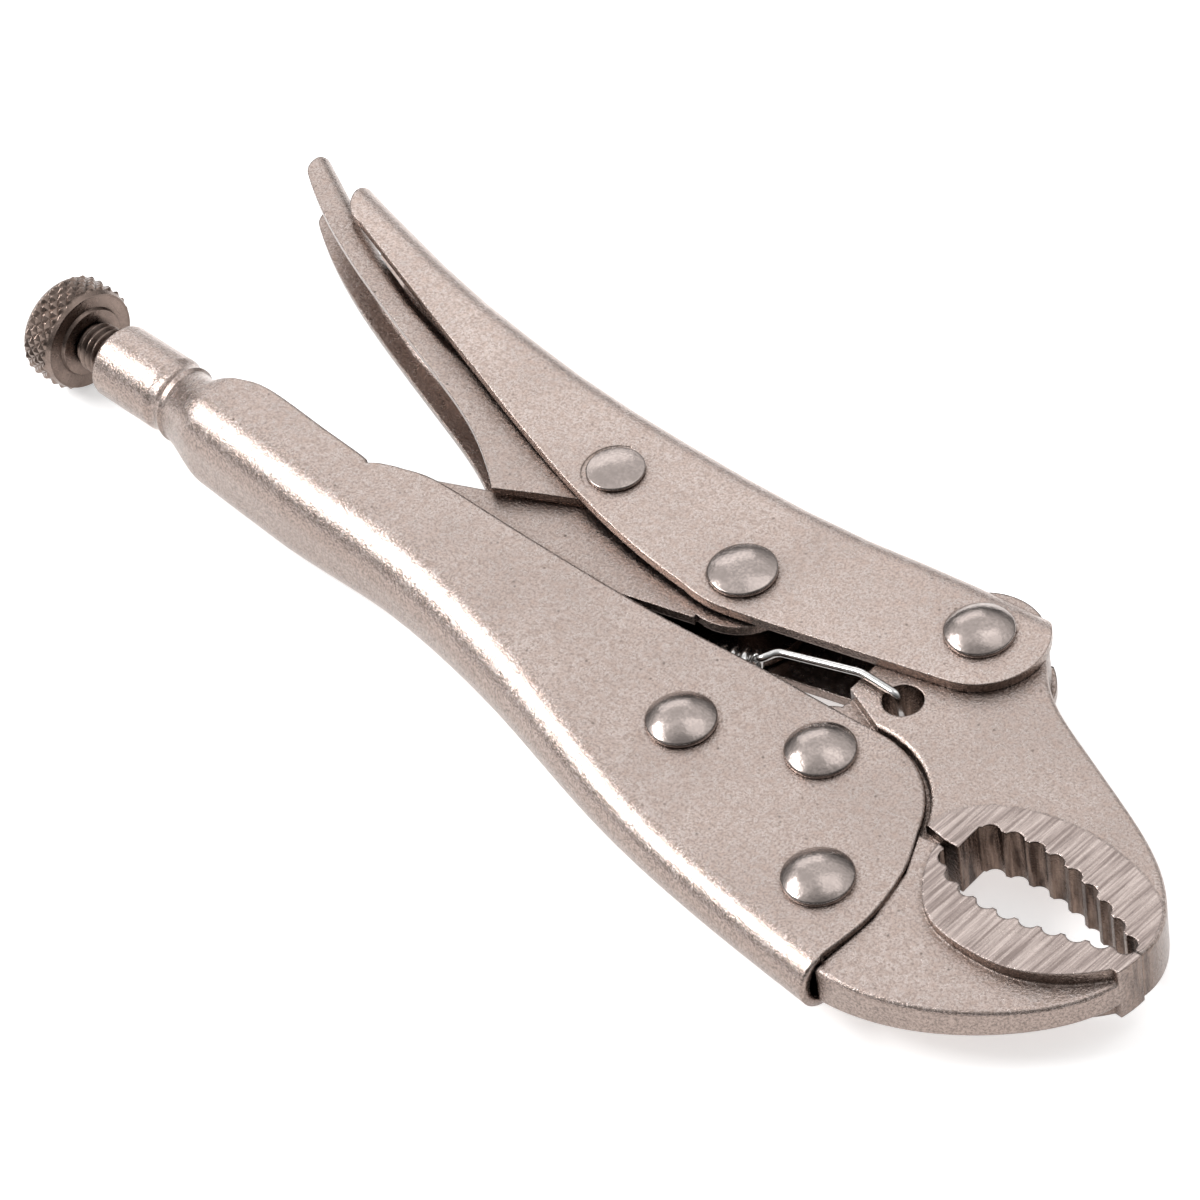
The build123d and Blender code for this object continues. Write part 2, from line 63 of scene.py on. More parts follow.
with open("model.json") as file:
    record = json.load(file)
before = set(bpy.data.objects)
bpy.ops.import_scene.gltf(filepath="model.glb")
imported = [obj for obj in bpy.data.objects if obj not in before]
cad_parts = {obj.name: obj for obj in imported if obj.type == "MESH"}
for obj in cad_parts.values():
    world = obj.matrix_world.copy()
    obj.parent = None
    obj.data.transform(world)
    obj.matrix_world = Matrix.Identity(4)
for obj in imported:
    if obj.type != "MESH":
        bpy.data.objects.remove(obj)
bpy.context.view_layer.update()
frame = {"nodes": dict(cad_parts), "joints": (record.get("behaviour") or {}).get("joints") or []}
JOINTS = {joint["name"]: joint for joint in frame["joints"]}
MM = 0.001


def pivot(name):
    """Where a joint's axis crosses the middle of the pliers, in metres."""
    return np.array(JOINTS[name]["pos_m"], float)


JAW_PIVOT = pivot("jaw_hinge")
SCREW_AXIS = pivot("knob_spin")
SCREW_Y = (SCREW_AXIS[1] - JAW_PIVOT[1]) / MM

# --------------------------------------------------------------- fixed shapes
# Millimetres from the jaw pivot: x towards the jaws, y towards the lever, z up.
HANDLE_SHEET = 0.95
HANDLE_RIM = 0.42  # rounding of the sheet's cut edge
HANDLE_BEND = 3.9
HANDLE_BACK = [
    (-84, -7.6), (-76, -8.1), (-60, -9.0), (-45, -9.4), (-30, -11.8), (-12, -16), (2, -18), (22, -19.5)
]
NECK_EDGE = [(-76, -2.8), (-73, -1.1), (-69.5, -0.3), (-61, -0.75), (-56.2, -0.9), (-55.3, -1.2)]
GRIP_EDGE = [(-54.4, -0.5), (-52.5, 0.3), (-48.5, 1.35), (-38.5, 1.7), (-24, 2.45), (-11, 3.9), (-4.8, 4.35)]
NOSE_START = [(-4.8, 4.35), (-1, 4.6)]
NOSE_CENTRE = np.array([3.2, -5.2])
NOSE_R = 10.1
NOSE_ARC = (92, 27)  # degrees where the nose's round begins and ends
FRONT_EDGE = [(14.6, -5.3), (15.8, -10.7), (15.6, -16.4)]
BACK_END_X = 15.55
GRIP_HALF = 5.35
SEAT_HALF = 2.76  # half width over the jaws' seat
SEAT_END_X = -5
SEAT_ROUND = 4
GRIP_TAPER = 0.0471  # half width gained per millimetre behind the seat
BARREL_END_X = -89.0
BARREL_FRONT_X = -76.3
BARREL_R = 3.7
BARREL_LIP = 0.3
BORE_R = 2.55
BORE_FRONT_X = -71.5
NECK_X = (-73.2, -81.0)  # the trough is whole at the first and a full ring at the second
RING_GROOVE_X = -80.3
RING_GROOVE = 0.28

SPRING_EYE = (1.4, 8.7)
EYE_R = 2.0
COIL_FRONT = (-12.8, 5.1, 0)
COIL_REAR = (-36.2, -6.9, 0)
COIL_R = 2.0
HOOK = [(-12.0, 5.2, 2.2), (-11.4, 6.5, 2.3), (-3.2, 8.5, 3.4), (0.95, 8.5, 3.4), (1.2, 8.7, -0.6)]

MOUTH_CENTRE = (25.0, 0, 0)
MOUTH_REACH = (11.2, 5.8)
JAW_FACE = 2.8  # height of the ground faces over the middle
MOVABLE_BAND = (12.2, 7.35)
FIXED_BAND = (15.0, 12.0)

RIVETS = {  # body, height of the head
    "rear_jaw_rivet": ("frame", 1.5),
    "front_jaw_rivet": ("frame", 1.5),
    "jaw_pivot_rivet": ("frame", 1.5),
    "lever_pivot_rivet": ("lever", 1.5),
    "link_pivot_rivet": ("lever", 1.15),
    "release_pivot_rivet": ("lever", 0.7),
}

CAMERA_OFFSET = (223.26, -191.19, 314.78)
CAMERA_TURN = (52.57, 44.62, 10.17)  # azimuth, elevation and roll in degrees
CAMERA_LENS = 151.8


def from_pivot(*parts):
    """A place given in millimetres from the jaw pivot, in metres."""
    return JAW_PIVOT + np.array(parts) * MM


def node_box(name):
    """The lowest and highest corners of a CAD node as two arrays."""
    low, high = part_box(name)
    return np.array(low), np.array(high)


# ------------------------------------------------------------------ mesh tools
def grid_faces(rows, columns, wrap=False, start=0):
    """Corner numbers of the quads between neighbouring points of a rows by columns grid.  With wrap,
    the last column is joined to the first."""
    r, c = np.meshgrid(np.arange(rows - 1), np.arange(columns if wrap else columns - 1), indexing="ij")
    next_c = (c + 1) % columns
    quads = [r * columns + c, (r + 1) * columns + c, (r + 1) * columns + next_c, r * columns + next_c]
    return np.stack(quads, -1).reshape(-1, 4) + start


def make_piece(name, points, faces, material, body, smooth=True):
    """A mesh object from arrays, with doubled points merged and faces turned outwards, that rides on
    a body and takes the material."""
    mesh = bpy.data.meshes.new(name)
    mesh.from_pydata(np.asarray(points).reshape(-1, 3), [], np.asarray(faces).tolist())
    work = bmesh.new()
    work.from_mesh(mesh)
    bmesh.ops.remove_doubles(work, verts=work.verts, dist=2e-7)
    bmesh.ops.dissolve_degenerate(work, edges=work.edges, dist=1e-8)
    bmesh.ops.recalc_face_normals(work, faces=work.faces)
    work.to_mesh(mesh)
    work.free()
    mesh.polygons.foreach_set("use_smooth", np.full(len(mesh.polygons), smooth))
    mesh.materials.append(material)
    piece = bpy.data.objects.new(name, mesh)
    bpy.context.scene.collection.objects.link(piece)
    if body is not None:
        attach(piece, body)
    return piece


def turned(profile, turns, axis_point, axis, side):
    """A profile of (radius, height) pairs carried round an axis: point = axis point + height along
    the axis + radius towards the angle of each turn step."""
    profile = np.asarray(profile, float)
    angle = np.linspace(0, 2 * np.pi, turns, endpoint=False)
    axis = np.asarray(axis, float)
    side = np.asarray(side, float)
    other = np.cross(axis, side)
    round_ = np.cos(angle)[:, None] * side + np.sin(angle)[:, None] * other
    radius = profile[:, 0][:, None, None]
    height = profile[:, 1][:, None, None]
    return axis_point + radius * round_[None] + height * axis[None, None]


def tube(path, radius, sides, reference):
    """A circle carried along a path: the circle's first direction is across both the path and the
    reference direction, so the tube never twists."""
    path = np.asarray(path, float)
    along = np.gradient(path, axis=0)
    along /= np.linalg.norm(along, axis=1)[:, None]
    first = np.cross(along, reference)
    first /= np.linalg.norm(first, axis=1)[:, None]
    second = np.cross(along, first)
    angle = np.linspace(0, 2 * np.pi, sides, endpoint=False)[None, :, None]
    ring = path[:, None] + radius * (np.cos(angle) * first[:, None] + np.sin(angle) * second[:, None])
    ends = [np.repeat(path[:1], sides, 0)[None], ring, np.repeat(path[-1:], sides, 0)[None]]
    return np.concatenate(ends)


def rounded_route(corners, bend, count=14):
    """Straight runs through the corners, with each corner turned on a quadratic bend that starts
    and ends the bend length away from it."""
    corners = np.asarray(corners, float)
    parts = [corners[:1]]
    for before, corner, after in zip(corners[:-2], corners[1:-1], corners[2:]):
        start = corner + (before - corner) / np.linalg.norm(before - corner) * bend
        end = corner + (after - corner) / np.linalg.norm(after - corner) * bend
        t = np.linspace(0, 1, count)[:, None]
        parts.append((1 - t) ** 2 * start + 2 * t * (1 - t) * corner + t**2 * end)
    parts.append(corners[-1:])
    return np.concatenate(parts)


def flowing(points, count):
    """A smooth line through the points: each stretch is a cubic whose slopes are those of the
    neighbouring points' chord, and the count of places is spread evenly along its length."""
    p = np.asarray(points, float)
    slope = np.gradient(p, axis=0)
    t = np.linspace(0, len(p) - 1, 40 * len(p))
    i = np.minimum(t.astype(int), len(p) - 2)
    f = (t - i)[:, None]
    line = (1 + 2 * f) * (1 - f) ** 2 * p[i] + f * (1 - f) ** 2 * slope[i]
    line = line + f * f * (3 - 2 * f) * p[i + 1] - f * f * (1 - f) * slope[i + 1]
    run = np.concatenate([[0], np.cumsum(np.linalg.norm(np.diff(line, axis=0), axis=1))])
    even = np.linspace(0, run[-1], count)
    return np.stack([np.interp(even, run, line[:, k]) for k in range(line.shape[1])], -1)


def trough_section(back, inward, edge, half, bend, counts):
    """Outer and inner lines across the bent sheet at every place along it, from one wall's edge round
    the back to the other's.  Rim: a quarter circle that rounds the cut edge.  Wall: straight, at half
    the width.  Bend: a quarter circle.  Back: straight.  The far wall mirrors the near one."""
    wall_steps, bend_steps, back_steps = counts
    skins = []
    for depth in (0.0, HANDLE_SHEET):
        radius = bend - depth
        fold = back + inward * bend[:, None]
        up_wall = edge - fold
        reach = np.linalg.norm(up_wall, axis=1)[:, None]
        up_wall = up_wall / np.maximum(reach, 1e-9)
        towards_middle = HANDLE_RIM if depth else -HANDLE_RIM
        places, heights = [], []
        for a in np.linspace(np.pi / 2, 0, 4):
            places.append(edge - up_wall * HANDLE_RIM * (1 - np.sin(a)))
            heights.append(half - depth + towards_middle * (1 - np.cos(a)))
        for k in np.linspace(0, 1, wall_steps + 1)[1:-1]:
            places.append(fold + up_wall * (reach - HANDLE_RIM) * (1 - k))
            heights.append(half - depth)
        for a in np.linspace(0, np.pi / 2, bend_steps):
            places.append(fold - inward * (radius * np.sin(a))[:, None])
            heights.append(half - bend + radius * np.cos(a))
        near = len(places)
        for k in np.linspace(0, 1, back_steps + 1)[1:-1]:
            places.append(fold - inward * radius[:, None])
            heights.append((half - bend) * (1 - 2 * k))
        places += places[:near][::-1]
        heights += [-h for h in heights[:near][::-1]]
        skins.append(np.concatenate([np.stack(places, 1), np.stack(heights, 1)[..., None]], -1))
    return skins


def sheet_faces(rows, columns):
    """Quads of a sheet whose outer and inner skins are two grids joined round all four borders."""
    skin = rows * columns
    outer = grid_faces(rows, columns)
    inner = grid_faces(rows, columns, start=skin)[:, ::-1]
    number = np.arange(skin).reshape(rows, columns)
    borders = [number[:, 0], number[:, -1][::-1], number[0, ::-1], number[-1]]
    joins = [np.stack([b[:-1], b[1:], b[1:] + skin, b[:-1] + skin], -1) for b in borders]
    return np.concatenate([outer, inner] + joins)


# ------------------------------------------------------------------- materials
class Finish:
    """A material's node graph, with short names for the nodes it needs."""

    def __init__(self, name):
        self.material = bpy.data.materials.new(name)
        self.material.use_nodes = True
        self.tree = self.material.node_tree
        self.tree.nodes.clear()
        self.shader = self.tree.nodes.new("ShaderNodeBsdfPrincipled")
        output = self.tree.nodes.new("ShaderNodeOutputMaterial")
        self.tree.links.new(self.shader.outputs[0], output.inputs[0])
        self.coordinates = self.tree.nodes.new("ShaderNodeTexCoord").outputs
        self.place = self.coordinates["Object"]

    def node(self, kind, values=(), links=()):
        """A new node with its settings and sockets filled in and its inputs linked."""
        made = self.tree.nodes.new(kind)
        for key, value in dict(values).items():
            if isinstance(key, str) and hasattr(made, key):
                setattr(made, key, value)
            else:
                made.inputs[key].default_value = value
        for key, source in dict(links).items():
            self.tree.links.new(source, made.inputs[key])
        return made

    def noise(self, size, detail=3.0, rough=0.55, stretch=None):
        """Noise whose lumps are about size across, in metres."""
        place = self.place
        if stretch is not None:
            place = self.node("ShaderNodeMapping", {"Scale": stretch}, {"Vector": place}).outputs[0]
        values = {"Scale": 1.0 / size, "Detail": detail, "Roughness": rough}
        return self.node("ShaderNodeTexNoise", values, {"Vector": place}).outputs["Fac"]

    def apart(self, source):
        """The three parts of a place or direction."""
        return self.node("ShaderNodeSeparateXYZ", {}, {"Vector": source}).outputs

    def flatness(self):
        """1 where the surface faces straight up or down, 0 where it stands upright."""
        return self.math("ABSOLUTE", self.apart(self.coordinates["Normal"])[2], 0.0)

    def closeness(self, reach, samples):
        """1 where nothing stands within reach, and lower in corners and gaps."""
        return self.node("ShaderNodeAmbientOcclusion", {"samples": samples, "Distance": reach}).outputs["AO"]

    def oval(self, centre, reach):
        """Squared distance from a centre in the plane of the pliers, as a share of the reach."""
        parts = self.apart(self.place)
        total = None
        for k in (0, 1):
            share = self.math("DIVIDE", self.math("SUBTRACT", parts[k], centre[k]), reach[k] * MM)
            square = self.math("MULTIPLY", share, share)
            total = square if total is None else self.math("ADD", total, square)
        return total

    def cells(self, size):
        """Distance to the nearest of scattered points about size apart."""
        values = {"Scale": 1.0 / size}
        return self.node("ShaderNodeTexVoronoi", values, {"Vector": self.place}).outputs["Distance"]

    def remap(self, source, low, high, to_low=0.0, to_high=1.0):
        """The value carried in a straight line from one range to another, and held at its ends."""
        values = {"From Min": low, "From Max": high, "To Min": to_low, "To Max": to_high}
        return self.node("ShaderNodeMapRange", values, {"Value": source}).outputs[0]

    def mix(self, amount, first, second):
        """Colour between first and second; each is a colour or another node's output."""
        made = self.tree.nodes.new("ShaderNodeMix")
        made.data_type = "RGBA"
        for socket, value in ((0, amount), (6, first), (7, second)):
            if isinstance(value, bpy.types.NodeSocket):
                self.tree.links.new(value, made.inputs[socket])
            else:
                made.inputs[socket].default_value = value
        return made.outputs[2]

    def math(self, operation, first, second):
        """One sum on two values; each is a number or another node's output."""
        made = self.tree.nodes.new("ShaderNodeMath")
        made.operation = operation
        for socket, value in enumerate((first, second)):
            if isinstance(value, bpy.types.NodeSocket):
                self.tree.links.new(value, made.inputs[socket])
            else:
                made.inputs[socket].default_value = value
        return made.outputs[0]

    def bump(self, height, depth, under=None):
        """The surface's direction once a height pattern of this depth lies over the one under it."""
        values = {"Distance": depth, "Strength": 1.0}
        links = {"Height": height}
        if under is not None:
            links["Normal"] = under
        return self.node("ShaderNodeBump", values, links).outputs[0]

    def finish(self, colour, roughness, normal, metallic=1.0):
        """The material, once its three patterns are linked to the shader."""
        for key, value in (("Base Color", colour), ("Roughness", roughness), ("Normal", normal)):
            self.tree.links.new(value, self.shader.inputs[key])
        self.shader.inputs["Metallic"].default_value = metallic
        return self.material


PIT_COLOUR = (0.06, 0.04, 0.03, 1.0)
# painted shade: the brown-black laid where other pieces stand close
PAINTED_SHADE_COLOUR = (0.075, 0.045, 0.032, 1.0)
GROOVE_COLOUR = (0.30, 0.24, 0.22, 1.0)
RIDGE_COLOUR = (0.62, 0.525, 0.485, 1.0)
OXIDE_DARK = (0.05, 0.03, 0.022, 1.0)
OXIDE_LIGHT = (0.24, 0.17, 0.135, 1.0)


def shade(colour, factor):
    """The colour made lighter or darker by a factor."""
    return tuple(min(1.0, c * factor) for c in colour[:3]) + (1.0,)


def blasted_plate(name, colour, grain=1.0, pitting=1.0, edge=0.0, reach=1.2, clear=0.94, band=None):
    """Satin nickel over blasted steel.  The colour has patches, then lumps, then grains, each browner
    than the last, with dark pits, painted shade that makes the upright sides darker, and brown painted
    shade where other pieces stand within reach.  The height has lumps and grains.  Edge rounds the sharp
    edges, and band is the reach of a jaw's ground face round the mouth."""
    f = Finish(name)
    grains = f.noise(0.24 * MM, 3.0, 0.7)
    lumps = f.noise(0.8 * MM, 4.0, 0.6)
    patches = f.noise(10 * MM, 3.0, 0.5)
    brown = tuple(np.array(colour) * (1.0, 0.92, 0.87, 1.0))
    tone = f.mix(f.remap(patches, 0.35, 0.65), shade(colour, 0.9), shade(colour, 1.08))
    tone = f.mix(f.remap(lumps, 0.3, 0.6), shade(brown, 0.88), tone)
    tone = f.mix(f.remap(grains, 0.36, 0.56), shade(brown, 0.66), tone)

    pit = f.remap(f.cells(0.9 * MM), 0.0, 0.2, 1.0, 0.0)
    pit = f.math("MULTIPLY", pit, f.remap(f.noise(1.9 * MM, 2.0, 0.5), 0.52, 0.62))
    tone = f.mix(f.math("MULTIPLY", pit, 0.85 * pitting), tone, PIT_COLOUR)
    # painted shade: upright sides, such as the handle's web, darker and browner as if in shade
    side = f.mix(f.remap(grains, 0.35, 0.6), shade(brown, 0.32), shade(brown, 0.66))
    tone = f.mix(f.remap(f.flatness(), 0.3, 0.72, 1.0, 0.0), tone, side)
    # painted shade: brown darkening, speckled by the grain, where other pieces stand within reach
    near = f.remap(f.closeness(reach * MM, 8), clear - 0.55, clear, 1.0, 0.0)
    painted_shade = f.math("MULTIPLY", near, f.remap(grains, 0.25, 0.6, 1.0, 0.35))
    tone = f.mix(painted_shade, tone, PAINTED_SHADE_COLOUR)

    rough = f.remap(lumps, 0.3, 0.7, 0.18, 0.30)
    rounded = None
    if edge:
        rounded = f.node("ShaderNodeBevel", {"samples": 6, "Radius": edge * MM}).outputs[0]
    normal = f.bump(lumps, 0.022 * MM * grain, under=rounded)
    normal = f.bump(grains, 0.058 * MM * grain, under=normal)
    if band is not None:
        tone, normal = ground_jaw(f, tone, normal, band)
    return f.finish(tone, rough, normal)


def ground_jaw(f, tone, normal, band):
    """Adds to a jaw's plating a band of grinding lines on its top and bottom faces inside an oval
    round the mouth, and dark ribbed oxide on the walls of the mouth and of the spring's eye."""
    middle = from_pivot(*MOUTH_CENTRE)
    flatness = f.flatness()
    height = f.math("SUBTRACT", f.apart(f.place)[2], float(middle[2]))
    height = f.math("ABSOLUTE", height, 0.0)
    ground = f.math(
        "MULTIPLY",
        f.remap(flatness, 0.9, 0.97),
        f.remap(height, (JAW_FACE - 0.1) * MM, (JAW_FACE - 0.05) * MM),
    )
    ground = f.math("MULTIPLY", ground, f.remap(f.oval(middle, band), 0.97, 1.03, 1.0, 0.0))
    lines = f.noise(0.34 * MM, 2.0, 0.6, stretch=(1.0, 0.05, 0.3))
    tone = f.mix(ground, tone, f.mix(f.remap(lines, 0.35, 0.65), GROOVE_COLOUR, RIDGE_COLOUR))

    mouth = f.remap(f.oval(middle, MOUTH_REACH), 0.85, 1.1, 1.0, 0.0)
    eye = f.remap(f.oval(from_pivot(*SPRING_EYE, 0), (EYE_R, EYE_R)), 0.9, 1.2, 1.0, 0.0)
    wall = f.math("MULTIPLY", f.remap(flatness, 0.25, 0.6, 1.0, 0.0), f.math("MAXIMUM", mouth, eye))
    ribs = f.noise(0.6 * MM, 3.0, 0.6, stretch=(1.0, 1.0, 0.15))
    tone = f.mix(wall, tone, f.mix(f.remap(ribs, 0.35, 0.65), OXIDE_DARK, OXIDE_LIGHT))
    normal = f.bump(f.math("MULTIPLY", lines, ground), 0.08 * MM, under=normal)
    normal = f.bump(f.math("MULTIPLY", ribs, wall), 0.1 * MM, under=normal)
    return tone, normal


def struck_head(name, colour):
    """A rivet's dome: nearly smooth bright plating with faint clouds and a fine grain."""
    f = Finish(name)
    cloud = f.noise(1.6 * MM, 3.0, 0.55)
    grains = f.noise(0.3 * MM, 2.0, 0.5)
    tone = f.mix(f.remap(cloud, 0.35, 0.65), shade(colour, 0.82), shade(colour, 1.1))
    tone = f.mix(f.remap(grains, 0.35, 0.6), shade(colour, 0.8), tone)
    rough = f.remap(cloud, 0.3, 0.7, 0.17, 0.27)
    normal = f.bump(cloud, 0.05 * MM)
    normal = f.bump(grains, 0.012 * MM, under=normal)
    return f.finish(tone, rough, normal)


def turned_steel(name, colour, dark):
    """Dark plated turned steel: fine rings round the screw's axis, and painted shade in the hollows."""
    f = Finish(name)
    grains = f.noise(0.3 * MM, 3.0, 0.6)
    cloud = f.noise(2.5 * MM, 3.0, 0.5)
    rings = f.noise(0.5 * MM, 2.0, 0.5, stretch=(3.0, 0.4, 0.4))
    tone = f.mix(f.remap(cloud, 0.35, 0.65), dark, colour)
    tone = f.mix(f.remap(grains, 0.35, 0.7), shade(colour, 0.7), tone)
    # painted shade: darker in the knurl's grooves and other hollows, where other surfaces stand close
    tone = f.mix(f.remap(f.closeness(0.8 * MM, 6), 0.35, 0.95), shade(dark, 0.3), tone)
    rough = f.remap(grains, 0.3, 0.7, 0.24, 0.38)
    normal = f.bump(rings, 0.02 * MM)
    normal = f.bump(grains, 0.02 * MM, under=normal)
    return f.finish(tone, rough, normal)


def bright_wire(name, colour):
    """Drawn wire: smooth and bright with faint marks."""
    f = Finish(name)
    marks = f.noise(0.4 * MM, 2.0, 0.5)
    tone = f.mix(f.remap(marks, 0.4, 0.7), shade(colour, 0.8), colour)
    rough = f.remap(marks, 0.3, 0.7, 0.14, 0.24)
    normal = f.bump(marks, 0.01 * MM)
    return f.finish(tone, rough, normal)


def white_board(name):
    """Matt white board with a faint unevenness, and a little light of its own."""
    f = Finish(name)
    cloud = f.noise(50 * MM, 2.0, 0.5)
    tone = f.mix(cloud, (0.93, 0.93, 0.93, 1.0), (0.97, 0.97, 0.97, 1.0))
    f.shader.inputs["Emission Color"].default_value = (1.0, 1.0, 1.0, 1.0)
    f.shader.inputs["Emission Strength"].default_value = 0.5
    rough = f.remap(cloud, 0.3, 0.7, 0.6, 0.7)
    normal = f.bump(cloud, 0.01 * MM)
    return f.finish(tone, rough, normal, metallic=0.0)


MATERIALS = {}


# ------------------------------------------------------------------ properties
class PliersFinish(bpy.types.PropertyGroup):
    """Colours and surface texture of the pliers."""

    plate: bpy.props.FloatVectorProperty(
        name="Plating",
        description="Colour of the satin plating on the handles",
        subtype="COLOR",
        size=4,
        min=0.0,
        max=1.0,
        default=(0.56, 0.48, 0.446, 1.0),
    )
    jaw: bpy.props.FloatVectorProperty(
        name="Jaw plating",
        description="Colour of the plating on the forged jaws",
        subtype="COLOR",
        size=4,
        min=0.0,
        max=1.0,
        default=(0.56, 0.48, 0.446, 1.0),
    )
    screw: bpy.props.FloatVectorProperty(
        name="Screw steel",
        description="Colour of the adjusting screw and its knob",
        subtype="COLOR",
        size=4,
        min=0.0,
        max=1.0,
        default=(0.31, 0.235, 0.20, 1.0),
    )
    wire: bpy.props.FloatVectorProperty(
        name="Spring wire",
        description="Colour of the spring wire",
        subtype="COLOR",
        size=4,
        min=0.0,
        max=1.0,
        default=(0.80, 0.79, 0.78, 1.0),
    )
    grain: bpy.props.FloatProperty(
        name="Grain",
        description="Depth of the blasted grain, 1 as made",
        default=1.0,
        min=0.0,
        max=3.0,
    )


class PliersSizes(bpy.types.PropertyGroup):
    """Sizes of the turned and coiled pieces."""

    thread_pitch: bpy.props.FloatProperty(
        name="Thread pitch",
        description="Advance of the adjusting screw in one turn",
        subtype="DISTANCE",
        unit="LENGTH",
        default=0.8 * MM,
        min=0.3 * MM,
    )
    thread_depth: bpy.props.FloatProperty(
        name="Thread depth",
        description="Depth of the thread's groove",
        subtype="DISTANCE",
        unit="LENGTH",
        default=0.42 * MM,
    )
    knurls: bpy.props.IntProperty(
        name="Knurls",
        description="Diamonds round the knob",
        default=26,
        min=8,
    )
    knurl_depth: bpy.props.FloatProperty(
        name="Knurl depth",
        description="Depth of the grooves between the diamonds",
        subtype="DISTANCE",
        unit="LENGTH",
        default=0.27 * MM,
    )
    coil_turns: bpy.props.IntProperty(
        name="Coil turns",
        description="Turns of the tension spring",
        default=25,
        min=4,
    )
    wire: bpy.props.FloatProperty(
        name="Spring wire",
        description="Diameter of the spring wire",
        subtype="DISTANCE",
        unit="LENGTH",
        default=0.75 * MM,
    )


# ------------------------------------------------------------------- operators
class PLIERS_OT_finishes(bpy.types.Operator):
    """Make the metal finishes and give them to the plain solid pieces"""

    bl_idname = "pliers.finishes"
    bl_label = "Finishes"

    def execute(self, context):
        """A solid that isn't named below is a rivet, or is hidden behind a finer piece."""
        look = context.scene.pliers_finish
        grain = look.grain
        MATERIALS["plate"] = blasted_plate("satin plate", look.plate, grain)
        MATERIALS["movable jaw"] = blasted_plate(
            "movable jaw plate", look.jaw, 1.2 * grain, edge=0.3, reach=2.4, band=MOVABLE_BAND
        )
        MATERIALS["fixed jaw"] = blasted_plate(
            "fixed jaw plate", look.jaw, 1.2 * grain, edge=0.3, reach=2.4, band=FIXED_BAND
        )
        MATERIALS["lever"] = blasted_plate(
            "lever plate", shade(look.plate, 1.08), grain, edge=0.28, reach=1.6, clear=0.96
        )
        MATERIALS["thin"] = blasted_plate(
            "thin plate", shade(look.plate, 0.94), grain, 1.6, edge=0.22, reach=4.5, clear=0.99
        )
        MATERIALS["rivet"] = struck_head("rivet plate", shade(look.plate, 0.84))
        MATERIALS["screw"] = turned_steel("screw steel", look.screw, shade(look.screw, 0.45))
        MATERIALS["wire"] = bright_wire("spring wire", look.wire)
        wanted = {
            "fixed_handle": "plate",
            "lever_handle": "lever",
            "fixed_jaw": "fixed jaw",
            "movable_jaw": "movable jaw",
            "release_lever": "thin",
            "toggle_link": "thin",
        }
        for name, node in frame["nodes"].items():
            chosen = wanted.get(name, "rivet")
            for slot in node.material_slots:
                slot.material = MATERIALS[chosen]
        return {"FINISHED"}


def handle_width(x):
    """Half the fixed handle's width: even in front of the jaws' seat, then a rounded turn into a
    straight taper, (distance behind + its hypotenuse with the rounding) / 2, up to the grip."""
    ahead = x - SEAT_END_X
    behind = (np.hypot(ahead, SEAT_ROUND) - ahead) / 2
    return np.minimum(SEAT_HALF + GRIP_TAPER * behind, GRIP_HALF)


def handle_lines():
    """The wall's edge and the back's middle line, place by place from the barrel's end to the front.
    Behind the nose, both stand at the same x.  Over the nose, the back's x runs on to the front as
    a power of the distance along the edge, so the lines across the wall fan out."""
    angle = np.radians(np.linspace(*NOSE_ARC, 7))
    arc = NOSE_CENTRE + NOSE_R * np.stack([np.cos(angle), np.sin(angle)], -1)
    neck = flowing(NECK_EDGE, 50)
    grip = flowing(GRIP_EDGE, 110)
    nose = flowing(np.concatenate([NOSE_START, arc]), 60)[1:]
    front = flowing([arc[-1], *FRONT_EDGE], 40)[1:]
    edge = np.concatenate([neck, grip, nose, front])
    run = np.concatenate([[0], np.cumsum(np.linalg.norm(np.diff(edge, axis=0), axis=1))])
    nose_run = run[len(neck) + len(grip) - 1]
    ahead = np.clip((run - nose_run) / (run[-1] - nose_run), 0, 1)
    nose_x = GRIP_EDGE[-1][0]
    x = np.where(ahead > 0, nose_x + (BACK_END_X - nose_x) * ahead**1.15, edge[:, 0])

    lip_x = BARREL_END_X + np.array([0, 0.03, 0.12, 0.3])
    barrel_x = np.concatenate([lip_x, np.linspace(BARREL_END_X + 0.6, BARREL_FRONT_X, 56)])
    barrel_edge = np.stack([barrel_x, np.full(len(barrel_x), NECK_EDGE[0][1])], -1)
    x = np.concatenate([barrel_x, x])
    line = flowing(HANDLE_BACK, 600)
    back = np.stack([x, np.interp(x, line[:, 0], line[:, 1])], -1)
    return np.concatenate([barrel_edge, edge]), back


def barrel_ring(x, radius, columns):
    """At each x, a ring round the screw's axis that leaves a thin slit beside the lever: x, axis +
    radius * cosine, radius * sine."""
    turn = 2 * np.pi * np.linspace(0.012, 0.988, columns)
    across = SCREW_Y + radius[:, None] * np.cos(turn)
    return np.stack([np.repeat(x[:, None], columns, 1), across, radius[:, None] * np.sin(turn)], -1)


